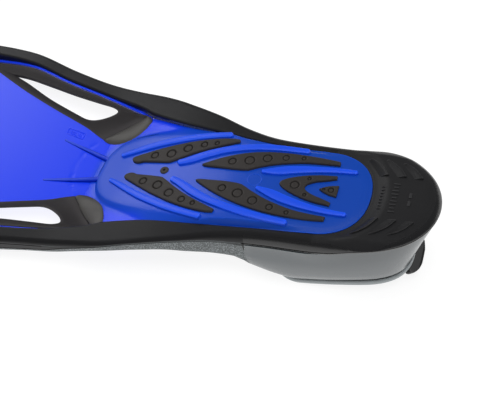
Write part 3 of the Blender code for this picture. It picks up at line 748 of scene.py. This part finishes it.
def stations(u):
    """The inner and outer points of the bar's section at u, in plan."""
    if u <= HEEL_U:
        x = along(RAIL_U, u)
        return Vector((x, along(RAIL_INNER, x))), Vector((x, along(OUTER, x)))
    t = (u - HEEL_U) / 0.38
    inner_t = min(max((t - 0.05) / 0.95, 0), 1)
    ix, iy = arc_point(BLUE_END, 42.0, BLUE_REACH, inner_t, BLUE_BLUNT)
    if t < 0.05:
        ix, iy = mix(130, BLUE_END, t / 0.05), mix(along(RAIL_INNER, 130), 42.0, t / 0.05)
    outer_t = max((t - 0.28) / 0.72, 0)
    ox, oy = arc_point(HEEL_START, 52.2, HEEL_REACH, outer_t, 2.0)
    if t < 0.28:
        ox = mix(130, HEEL_START, t / 0.28)
        oy = along(OUTER, ox)
    return Vector((ix, iy)), Vector((ox, oy))


TOP_STEPS, BELOW = 46, 26
ARC_SHARE = 0.34       # the share of the top's steps that rounds the outer shoulder
INNER_ROUND = 2.2


def band_corner(side):
    def place(u, v):
        inner, outer = stations(u)
        across = outer - inner
        width = across.length
        x_mid = (inner.x + outer.x) / 2
        at = outer.x if u > HEEL_U else x_mid
        round_in = min(INNER_ROUND, width * 0.2)
        shoulder_wide = mix(5.0, 13.0, ease(20, 200, at))
        shoulder_wide = min(shoulder_wide, width * mix(0.42, 0.7, ease(0, 90, at)))
        bottom = along(RAIL_BOTTOM, at) if at < SMOOTH_FROM + 1 else along(PARTING, at) + 0.1
        parting = max(along(PARTING, at), bottom + 1.5)
        shoulder = min(mix(5.0, 12.0, ease(20, 130, at)), tread_z(outer.x, outer.y) - parting - 1.0)
        k = v * (TOP_STEPS + BELOW)
        if k <= TOP_STEPS:
            t = k / TOP_STEPS
            if t < 0.1:
                angle = (1 - t / 0.1) * math.pi / 2
                w, drop = round_in * (1 - math.sin(angle)), round_in * (1 - math.cos(angle))
            elif t > 1 - ARC_SHARE:
                angle = (t - 1 + ARC_SHARE) / ARC_SHARE * math.pi / 2
                w, drop = width - shoulder_wide * (1 - math.sin(angle)), shoulder * (1 - math.cos(angle))
            else:
                w, drop = mix(round_in, width - shoulder_wide, (t - 0.1) / (0.9 - ARC_SHARE)), 0.0
            p = inner + across * (w / width)
            z = tread_z(p.x, p.y) - drop
        else:
            j = int(round(k - TOP_STEPS))
            top = tread_z(outer.x, outer.y) - shoulder
            if at < SMOOTH_FROM + 1:
                levels = ([(0, mix(top, parting + 0.6, s / 5)) for s in range(1, 6)]
                          + [(-0.7, parting), (0, parting - 0.6)]
                          + [(-0.2 * s, mix(parting - 0.6, bottom + 2.5, s / 6)) for s in range(1, 7)]
                          + [(-1.9, bottom + 0.8), (-3.6, bottom)])
            else:
                levels = ([(-0.05 * s, mix(top, bottom + 0.7, s / 11)) for s in range(1, 12)]
                          + [(-0.8, bottom + 0.25), (-1.3, bottom + 0.05), (-2.2, bottom), (-3.6, bottom)])
            if j <= len(levels):
                out, z = levels[j - 1]
                p = outer + across.normalized() * out
            else:
                s = (j - len(levels)) / (BELOW - len(levels))
                if s < 0.55:
                    p = outer + across.normalized() * mix(-3.6, -(width - 2.0), s / 0.55)
                    z = bottom
                else:
                    p = inner + across.normalized() * mix(2.0, 0.0, (s - 0.55) / 0.45)
                    z = mix(bottom, tread_z(inner.x, inner.y) - round_in, (s - 0.55) / 0.45)
        if u < 0.03:
            pinch = mix(0.35, 1.0, ease(0.0, 0.03, u) ** 0.5)
            centre = (inner + outer) / 2
            middle_z = (along(RAIL_TOP, at) + bottom) / 2
            p = centre + (p - centre) * pinch
            z = middle_z + (z - middle_z) * pinch
        return Vector((p.x, side * p.y, z))
    return place


half = grid(420, TOP_STEPS + BELOW, band_corner(1))
bmesh.ops.remove_doubles(half, verts=half.verts, dist=0.004)
bmesh.ops.mirror(half, geom=half.verts[:] + half.edges[:] + half.faces[:], axis="Y", merge_dist=0.02)
band = close_up(half, 0.01)
for face in band.faces:
    c = face.calc_center_median()
    line = along(PARTING, c.x) - 0.2
    if c.x < SMOOTH_FROM and c.z < line and abs(face.normal.y) > 0.25 and face.normal.z < 0.6:
        face.material_index = 1
    elif c.x > SMOOTH_FROM + 1 and c.z < tread_z(c.x, c.y) - 1.5:
        face.material_index = 2
    elif c.x > 146:
        face.material_index = 3
band = piece("rails_band_and_heel", band, RAIL_RUBBER, SPECKLED, POLISHED, TREAD_RUBBER)
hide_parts("outsole_band", "rail_left", "rail_right")
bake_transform(band)
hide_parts("sole_plate", "blade_panel")
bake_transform(blue)

# %% [markdown]
# ## The heel's tread bars
# Three curved bars on each side of the heel rise gently from the front and end in a sharp step at the back,
# which bites when the wearer walks backwards into the water. Each is a sheet between its front and rear
# edges, and its height grows across it. Between the bars are rows of small raised dashes, plain ones made
# from bevelled cubes.

# %% The tread bars
TREADS = (
    (((174.5, 39.5), (181, 36.5), (188.5, 30.5), (194.5, 22)),
     ((173.5, 38.8), (176.5, 34), (181, 28), (186, 21.6))),
    (((189.5, 39), (196, 35.5), (203.5, 29.5), (209, 22)),
     ((188.5, 38.3), (191.5, 33), (196, 27), (200.8, 21.4))),
    (((204, 37), (210.5, 34), (217, 29), (222.5, 22)),
     ((203, 36.3), (206, 32), (210.2, 27.2), (214.6, 21.6))))
TREAD_COLUMNS, TREAD_RISE = 40, 2.1


def tread_bar(rear, front, side):
    rear_line, front_line = evenly(rear, TREAD_COLUMNS + 1), evenly(front, TREAD_COLUMNS + 1)

    def place(u, v):
        i = int(round(u * TREAD_COLUMNS))
        p = front_line[i].lerp(rear_line[i], v)
        rise = TREAD_RISE * ease(-0.1, 0.9, v) * ease(0.0, 0.12, u) * mix(0.75, 1.0, u)
        rise -= 0.25 * ease(0.93, 1.0, v)
        return Vector((p.x, side * p.y, tread_z(p.x, p.y) - 0.25 + rise))
    return thicken_down(grid(TREAD_COLUMNS, 20, place), lambda x, y, z: tread_z(x, y) - 1.5)


for side, word in ((1, "left"), (-1, "right")):
    for k, (rear, front) in enumerate(TREADS):
        tread = tread_bar(rear, front, side)
        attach(piece(f"heel_tread_bar_{word}_{k + 1}", tread, TREAD_RUBBER, sharp=30), "foot_pocket")

# %% The dashes
DASHES = ([(203, -14 + 3.5 * k, 5.4 - 1.6 * (k % 3 == 1), 1.3) for k in range(9)]
          + [(193, -11.5 + 3.2 * k, 3.4, 0.9) for k in range(8)]
          + [(215.5, y, 2.4, 5.0) for y in (-4, 4)])
dashes = bmesh.new()
for x, y, length, width in DASHES:
    made = bmesh.ops.create_cube(dashes, size=1.0)["verts"]
    bmesh.ops.scale(dashes, vec=(length, width, 1.5), verts=made)
    bmesh.ops.translate(dashes, vec=(x, y, tread_z(x, y)), verts=made)
bmesh.ops.bevel(dashes, geom=dashes.edges[:], offset=0.3, segments=2, profile=0.5, affect="EDGES",
                material=-1)
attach(piece("heel_dashes", dashes, TREAD_RUBBER), "foot_pocket")

# %% [markdown]
# ## The grip pads
# Soft grip pads are bonded on the plateau between the ribs. Each is a leaf with a row of round dimples that
# get smaller along it; a dimple is a shallow recess with a slightly raised lip. A pad is a sheet stretched
# between its two long edges and rolled down at its rim, so that the dimples are part of its surface.

# %% Pad shapes
FRONT_OUT = ((-36.8, 10.8), (-35, 12.9), (-27, 16.7), (-19, 20.5), (-11, 24), (-3, 27.3), (5, 30.2), (13, 33),
             (21, 35.3), (29, 37.3), (37, 38.8), (45, 40), (53, 40.6), (59.5, 40))
FRONT_IN = ((-37, 9.6), (-35, 7.0), (-31, 5.8), (-27.5, 6.3), (-25, 7.3), (-17, 7.6), (-9, 7.9), (-1, 8.3),
            (2, 9), (7, 11.8), (15, 16.8), (23, 21.3), (31, 25.3), (39, 28.8), (47, 32), (55, 35), (60, 37))
FRONT_DIMPLES = ((-15.5, 14.9, 3.6), (0.1, 18.0, 4.4), (14, 25.3, 4.2), (28.1, 30.9, 3.2), (39.5, 33.5, 2.2))
MIDDLE_OUT = ((33.4, 8.9), (35, 10.2), (47, 16.7), (59, 22), (71, 26.2), (83, 29.2), (95, 31.2), (107, 32.4),
              (119, 32.8), (131, 32.7), (143, 32), (152, 31))
MIDDLE_IN = ((33.6, 8.3), (38, 7.3), (50, 7.1), (62, 6.9), (74, 7.6), (79, 9.4), (86, 13.1), (98, 18.2),
             (110, 21.8), (122, 24.6), (134, 26), (146, 26.6), (152.5, 27))
MIDDLE_DIMPLES = ((60.2, 14.8, 3.6), (75.1, 18.0, 4.5), (89.8, 23.0, 4.1), (105.4, 26.6, 3.0),
                  (120.5, 29.0, 2.0))
PADS = {"grip_pad_front": (FRONT_OUT, FRONT_IN, FRONT_DIMPLES),
        "grip_pad_middle": (MIDDLE_OUT, MIDDLE_IN, MIDDLE_DIMPLES)}
PAD_HEIGHT = 2.6


def pad_sheet(outer, inner, dimples, side, columns, rows):
    """A leaf-shaped pad with its dimples, as a closed plate."""
    out_line, in_line = evenly(outer, columns + 1), evenly(inner, columns + 1)
    span = (out_line[-1] - out_line[0]).length / columns

    def place(u, v):
        i = int(round(u * columns))
        p = in_line[i].lerp(out_line[i], v)
        width = (out_line[i] - in_line[i]).length
        rim = min(min(v, 1 - v) * width, u * columns * span, (1 - u) * columns * span)
        z = PAD_HEIGHT - 1.1 * (1 - math.sqrt(max(1 - (1 - min(rim / 1.4, 1)) ** 2, 0)))
        for dx, dy, r in dimples:
            away = math.hypot(p.x - dx, p.y - dy)
            z -= 1.0 * ease(1.0, 0.0, abs(away - r + 0.3)) + 0.25 * ease(r, r - 1.0, away)
        return Vector((p.x, side * p.y, z + plate_z(p.x)))
    return thicken_down(grid(columns, rows, place), lambda x, y, z: blue_base(x, y) - 0.6)


def plate_z(x):
    return along(PLATE_Z, x)


for name, (outer, inner, dimples) in PADS.items():
    for side, word in ((1, "left"), (-1, "right")):
        pad = piece(f"{name}_{word}_surface", pad_sheet(outer, inner, dimples, side, 200, 56), PAD_RUBBER)
        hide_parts(f"{name}_{word}")
        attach(pad, "foot_pocket")

# %% [markdown]
# ## The two small pads on the middle line
# A chevron and a triangle finish the row. The chevron is the same kind of sheet, bent over the middle line
# from its left arm to its right arm; the triangle is a plain leaf across the middle.

# %% Chevron and triangle
def both_arms(left):
    """The left arm's points, and then the right arm's."""
    return left + tuple((x, -y) for x, y in left[-2::-1])


CHEVRON_OUT = both_arms(((152.8, 15.6), (138, 14), (125, 10.8), (114, 6.4), (108, 2.4), (106.8, 0)))
CHEVRON_IN = both_arms(((153.2, 12.2), (145, 9.4), (137, 7.0), (131, 3.8), (129.2, 1.6), (128.6, 0)))
CHEVRON_DIMPLES = ((120, 0, 3.9), (130.5, 8.6, 1.6), (130.5, -8.6, 1.6))
chevron = pad_sheet(CHEVRON_OUT, CHEVRON_IN, CHEVRON_DIMPLES, 1, 140, 40)
chevron = piece("grip_pad_chevron_surface", chevron, PAD_RUBBER)
TRIANGLE = ((141, 0.3), (145, 2.6), (150, 4.6), (156.5, 5.8))
RIGHT_SIDE = tuple((x, -y) for x, y in TRIANGLE)
triangle = pad_sheet(TRIANGLE, RIGHT_SIDE, ((151, 0, 2.5), (144.9, 0, 1.1)), 1, 60, 40)
triangle = piece("grip_pad_triangle_surface", triangle, PAD_RUBBER)
for pad, cad in ((chevron, "grip_pad_chevron"), (triangle, "grip_pad_heel")):
    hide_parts(cad)
    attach(pad, "foot_pocket")

# %% [markdown]
# ## The gate button
# A small round plug of grip rubber marks where the rubber was injected through the plate. It is spun from
# its half section: a domed ring with a hole in the middle.

# %% The gate button
button = bmesh.new()
profile = ((0.0, 0.2), (1.0, 0.2), (1.25, 1.0), (1.9, 1.25), (3.0, 1.2), (3.7, 0.9), (4.0, 0.3), (4.0, -0.6),
           (0.0, -0.6))
verts = [button.verts.new((r, 0, z)) for r, z in profile]
edges = [button.edges.new(pair) for pair in zip(verts, verts[1:])]
bmesh.ops.spin(button, geom=verts + edges, cent=(0, 0, 0), axis=(0, 0, 1), angle=math.tau, steps=40,
               use_merge=True)
bmesh.ops.translate(button, vec=(-0.6, 0, plate_z(-0.6)), verts=button.verts)
button = piece("injection_plug", close_up(button), PAD_RUBBER, sharp=50)
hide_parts("gate_button")
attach(button, "foot_pocket")

# %% [markdown]
# ## The foot pocket
# The upper is a shell of soft rubber: toe box, instep and heel cup. Each level of it is a blunt oval, and
# the ovals get shorter from the sole to the foot opening, because the instep slopes back. The wall is a grid
# with one direction round the foot and one from sole to opening, given its thickness by a Solidify modifier.
# A groove and a rolled bead strengthen the edge of the opening; the groove is painted dark as painted shade,
# and the bead painted pale as a painted reflection of the white floor. A Boolean cuts a flat drain slot in
# the toe.

# %% The pocket's wall
POCKET_WIDTH = ((-70, 48), (-30, 52), (0, 54), (30, 55.5), (60, 57), (90, 57.0), (115, 55.5), (135, 53.6),
                (156, 52.2), (177, 50.8), (200, 49.5))
POCKET_FRONT = ((-62, 92), (-60, 87), (-55, 62), (-48, 30), (-40, -3), (-32, -31), (-24, -49), (-17, -57),
                (-10, -58))
POCKET_REAR = ((-66, 217), (-62, 218.5), (-50, 222.5), (-35, 228.5), (-20, 235.5), (-10, 239.0))
POCKET_LEAN = ((-62, 0.94), (-50, 1.0), (-35, 1.02), (-20, 0.995), (-6, 0.985))
RIM_LIFT = ((85, 6.5), (95, 5.2), (110, 2.8), (130, 2.2), (150, 4.0), (165, 5.0), (180, 4.5), (195, 2.8),
            (205, 2.2), (219, 2.0))
MIDDLE = 130.0          # where the front and rear halves of the ovals meet
POCKET_TOP, RIM_Z = -13.8, -62.0


def pocket_oval(angle, z, inset=0.0):
    cos, sin = math.cos(angle), math.sin(angle)
    front, rear = along(POCKET_FRONT, z) + inset, along(POCKET_REAR, z) - inset
    length = rear - MIDDLE if cos > 0 else MIDDLE - front
    power = 3.0 - 0.55 * (z + 60) / 43 if cos > 0 else 2.1
    x = MIDDLE + length * math.copysign(abs(cos) ** (2 / power), cos)
    half = along(POCKET_WIDTH, x) * along(POCKET_LEAN, z) - inset
    return x, half * math.copysign(abs(sin) ** (2 / power), sin)


def pocket_corner(u, v):
    angle = u * math.tau
    level = mix(POCKET_TOP, RIM_Z, v)
    x, y = pocket_oval(angle, level)
    top = along(PARTING, x) - 0.5 if x > 60 else mix(-9.6, along(PARTING, 60) - 4, ease(-20, 60, x))
    z = mix(top, RIM_Z + along(RIM_LIFT, x), v)
    groove = 2.2 * ease(0.04, 0.0, abs(v - 0.955)) * ease(80, 100, x)
    step = 0.9 * ease(SMOOTH_FROM - 1, SMOOTH_FROM + 0.6, x) * ease(1.0, 0.97, v)
    proud = max(abs(y) - (along(OUTER, x) - 1.1), 0.0)
    y -= math.copysign(proud * ease(0.35, 0.0, v) * ease(80, 88, x) * ease(200, 180, x), y)
    out = (Vector((x, y)) - Vector((MIDDLE, 0))).normalized()
    p = Vector((x, y)) + out * (step - groove)
    return Vector((p.x, p.y, z))


pocket = grid(220, 70, pocket_corner)
bmesh.ops.remove_doubles(pocket, verts=pocket.verts, dist=0.004)
for face in pocket.faces:
    c = face.calc_center_median()
    above_rim = c.z - RIM_Z - along(RIM_LIFT, c.x)
    # the groove's faces get the dark rail rubber, as painted shade in the groove
    groove_in_painted_shade = 0.6 < above_rim < 4.0 and c.x > 88
    face.material_index = 1 if c.x < SMOOTH_FROM else 2 if groove_in_painted_shade else 0
pocket = piece("foot_pocket_shell", pocket, POCKET_RUBBER, SPECKLED, RAIL_RUBBER)
wall = pocket.modifiers.new("wall", "SOLIDIFY")
wall.thickness, wall.offset = 0.0032, -1.0
drain = bmesh.new()
lay_down = Matrix.Rotation(math.radians(90), 4, "Y")
drain_place = Matrix.Translation((-45, 0, -22)) @ Matrix.Diagonal((60, 17, 6, 1)) @ lay_down
bmesh.ops.create_cone(drain, cap_ends=True, segments=64, radius1=1, radius2=1, depth=1, matrix=drain_place)
drain = piece("toe_drain_cutter", drain)
cut = pocket.modifiers.new("toe drain", "BOOLEAN")
cut.operation, cut.object, cut.solver = "DIFFERENCE", drain, "EXACT"
bake(pocket)
bpy.data.objects.remove(drain)
print("the finished pocket has", len(pocket.data.polygons), "faces")
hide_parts("foot_pocket")
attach(pocket, "foot_pocket")


# %% The rolled edge of the opening
def bead_corner(u, v):
    angle = u * math.tau
    x, y = pocket_oval(angle, RIM_Z, 1.0)
    rearward = ease(100, 135, x)
    z = RIM_Z + along(RIM_LIFT, x) - 2.0 - 1.6 * rearward
    out = (Vector((x, y)) - Vector((MIDDLE + 30, 0))).normalized()
    turn = v * math.tau
    wide, tall = 2.4 * math.cos(turn), (2.9 + 0.5 * rearward) * math.sin(turn)
    return Vector((x + out.x * wide, y + out.y * wide, z + tall))


# its pale finish is a painted reflection of the white floor
bead = piece("opening_bead", close_up(grid(200, 14, bead_corner)), BEAD_PAINTED_REFLECTION_RUBBER)
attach(bead, "foot_pocket")

# %% [markdown]
# ## The pull tab
# A flat rounded tab at the back of the opening helps to pull the fin on. It is a disc-like sheet with a
# thicker rim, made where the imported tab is, so that it turns on the same hinge.

# %% The pull tab
tab_hinge = Vector(next(j for j in record["behaviour"]["joints"] if j["name"] == "pull_tab_bend")["pos_m"])
TAB = Matrix.Translation(SOLE.inverted() @ tab_hinge) @ Matrix.Rotation(math.radians(50), 4, "Y")
TAB_LENGTH, TAB_HALF, ROOT_HALF, TAB_THICKNESS = 19.0, 24.0, 12.0, 3.2
TAB_BOW = 1.5          # the tab's corners reach this much less far than its middle


def tab_corner(u, v):
    x = mix(-0.6, TAB_LENGTH, u)
    round_end = math.sqrt(max(1 - max((x - 6) / (TAB_LENGTH - 6), 0) ** 2.2, 0.0))
    half = mix(ROOT_HALF, TAB_HALF, ease(-1, 9, x)) * round_end
    y = (2 * v - 1) * half
    rim = min(half - abs(y), TAB_LENGTH - x)
    z = mix(0.4, 1.6, ease(-1, 5, x)) - 0.9 * ease(0.6, 0.0, rim)
    z += 0.5 * ease(2.6, 1.2, rim) * ease(0.0, 0.5, rim)
    return TAB @ Vector((x - TAB_BOW * (y / TAB_HALF) ** 2, y, z))


tab = grid(60, 50, tab_corner)
grown = bmesh.ops.extrude_face_region(tab, geom=tab.faces[:])
bmesh.ops.translate(tab, verts=[v for v in grown["geom"] if isinstance(v, bmesh.types.BMVert)],
                    vec=TAB.to_3x3() @ Vector((0, 0, -TAB_THICKNESS)))
tab = piece("heel_pull_tab", tab, RAIL_RUBBER)
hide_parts("pull_tab")
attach(tab, "pull_tab")

# %% [markdown]
# ## The pieces that stay as packed
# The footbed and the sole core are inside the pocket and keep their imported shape; they only get their
# finish.

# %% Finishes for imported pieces
for name, finish in (("footbed", SPECKLED), ("sole_core", RAIL_RUBBER)):
    packed = frame["nodes"][name]
    packed.data.materials.clear()
    packed.data.materials.append(finish)

# %% [markdown]
# ## Floor, light and camera
# The fin lies on a white light table, which glows a little and so keeps its own shadow pale. Most of the
# light comes from a large box overhead, of which smooth faces mirror only a weaker twin. A narrow soft box
# on the far side stands just where the front of the sole mirrors it, which gives the blue its pale sheen,
# and a small one lights the heel. The camera is a short telephoto that looks down across the sole from the
# fin's right side.

# %% The floor
floor = bmesh.new()
bmesh.ops.create_grid(floor, x_segments=1, y_segments=1, size=6.0)
floor_mesh = bpy.data.meshes.new("studio_floor")
floor.to_mesh(floor_mesh)
floor.free()
floor = bpy.data.objects.new("studio_floor", floor_mesh)
bpy.context.scene.collection.objects.link(floor)
white = bpy.data.materials.new("white table")
white.use_nodes = True
table = white.node_tree.nodes["Principled BSDF"]
table.inputs["Base Color"].default_value = (0.18, 0.18, 0.18, 1)
table.inputs["Roughness"].default_value = 0.9
table.inputs["Emission Color"].default_value = (1, 1, 1, 1)
table.inputs["Emission Strength"].default_value = 0.88
floor_mesh.materials.append(white)

# %% Lights
world = bpy.data.worlds.new("light tent")
bpy.context.scene.world = world
world.use_nodes = True
world.node_tree.nodes["Background"].inputs["Color"].default_value = (1, 1, 1, 1)
world.node_tree.nodes["Background"].inputs["Strength"].default_value = 0.15


def soft_box(name, place, target, size, power, mirrored=True):
    light = bpy.data.lights.new(name, "AREA")
    light.shape, light.size, light.size_y, light.energy = "RECTANGLE", size[0], size[1], power
    made = bpy.data.objects.new(name, light)
    bpy.context.scene.collection.objects.link(made)
    made.location = place
    made.rotation_euler = (Vector(target) - Vector(place)).to_track_quat("-Z", "Y").to_euler()
    made.visible_glossy = mirrored
    return made


soft_box("overhead soft box", (0.05, -0.1, 1.7), (0, 0, 0), (1.2, 1.2), 21, mirrored=False)
soft_box("overhead glint", (0.05, -0.1, 1.7), (0, 0, 0), (1.2, 1.2), 9.0)
soft_box("sheen soft box", SOLE @ Vector((-900, 740, 1000)), SOLE @ Vector((0, 0, 0)), (0.8, 0.5), 3.6)
soft_box("heel soft box", (1.3, 0.9, 0.35), (0.2, 0, 0.05), (1.1, 0.6), 2.4)

# %% The camera
camera = bpy.data.cameras.new("camera")
camera.lens, camera.sensor_width = 57.6, 36.0
camera_object = bpy.data.objects.new("camera", camera)
bpy.context.scene.collection.objects.link(camera_object)
right = Vector((0.93985577, 0.29182671, -0.17750578))
down_axis = Vector((0.1293827, -0.78510768, -0.60569469))
forward = Vector((-0.31611904, 0.54629947, -0.77564531))
turn = Matrix((right, -down_axis, -forward)).transposed()
view_turn = Matrix.Rotation(-pitch, 3, "Y") @ turn
camera_place = Matrix.Translation(SOLE @ Vector((297.225, -384.683, 520.193)))
camera_object.matrix_world = camera_place @ view_turn.to_4x4()
bpy.context.scene.camera = camera_object
bpy.context.scene.view_settings.view_transform = "Standard"
print("the camera is at", camera_object.location)
